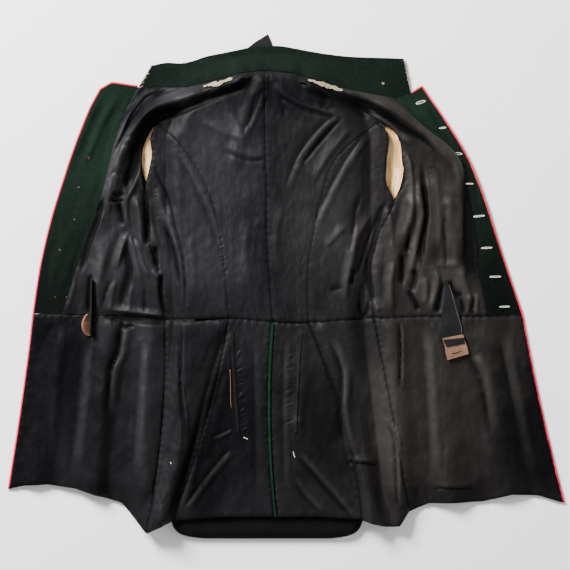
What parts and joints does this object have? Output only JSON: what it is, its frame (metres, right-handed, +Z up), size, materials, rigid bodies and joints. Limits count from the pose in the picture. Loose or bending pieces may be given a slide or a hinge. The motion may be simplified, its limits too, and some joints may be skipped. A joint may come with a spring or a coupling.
{
  "type": "military tunic laid open on a display form",
  "caption": "Green wool military tunic unbuttoned and laid open, lining up, on a low padded display form, with piped front edges, standing collar, lined skirts and folded-under sleeves.",
  "frame": {"origin": "on the surface the part lies on, under the middle of its bounding box", "axes": "+Z up from the surface, +Y from the hem to the collar, +X to the wearer's left front, which lies on the right seen from above"},
  "size_m": [0.9511, 0.86, 0.037],
  "materials": {
    "tunic_wool": "dark green fulled wool, matt with a short nap",
    "facing_wool": "green wool facing, matt, slightly faded",
    "lining_satin": "black cotton satin lining, soft sheen, creased",
    "sleeve_lining": "cream cotton sleeve lining, matt",
    "piping": "red wool piping",
    "black_tape": "black woven cotton tape",
    "hook_leather": "tan leather, dry and rubbed",
    "button_metal": "plain gilt metal, slightly dull",
    "form_cover": "black cloth-covered padding, matt"
  },
  "bodies": {
    "root": {"front_R": "tunic_wool", "front_L": "tunic_wool", "side_back_R": "tunic_wool", "side_back_L": "tunic_wool", "back_R": "tunic_wool", "back_L": "tunic_wool", "front_skirt_R": "tunic_wool", "front_skirt_L": "tunic_wool", "side_skirt_R": "tunic_wool", "side_skirt_L": "tunic_wool", "tail_R": "tunic_wool", "tail_L": "tunic_wool", "collar": "tunic_wool", "sleeve_R": "tunic_wool", "sleeve_L": "tunic_wool", "cuff_R": "tunic_wool", "cuff_L": "tunic_wool", "facing_R": "facing_wool", "facing_L": "facing_wool", "collar_lining": "facing_wool", "vent_edge": "facing_wool", "front_lining_R": "lining_satin", "front_lining_L": "lining_satin", "side_back_lining_R": "lining_satin", "side_back_lining_L": "lining_satin", "back_lining_R": "lining_satin", "back_lining_L": "lining_satin", "front_skirt_lining_R": "lining_satin", "front_skirt_lining_L": "lining_satin", "side_skirt_lining_R": "lining_satin", "side_skirt_lining_L": "lining_satin", "tail_lining_R": "lining_satin", "tail_lining_L": "lining_satin", "pocket_welt_R": "lining_satin", "pocket_welt_L": "lining_satin", "sleeve_lining_R": "sleeve_lining", "sleeve_lining_L": "sleeve_lining", "piping_R": "piping", "piping_L": "piping", "strap_R": "black_tape", "strap_L": "black_tape", "hanger_loop": "black_tape", "hook_tab_R": "hook_leather", "hook_tab_L": "hook_leather", "button_1": "button_metal", "button_2": "button_metal", "button_3": "button_metal", "button_4": "button_metal", "button_5": "button_metal", "button_6": "button_metal", "button_7": "button_metal", "button_8": "button_metal", "display_form": "form_cover"}
  },
  "joints": []
}
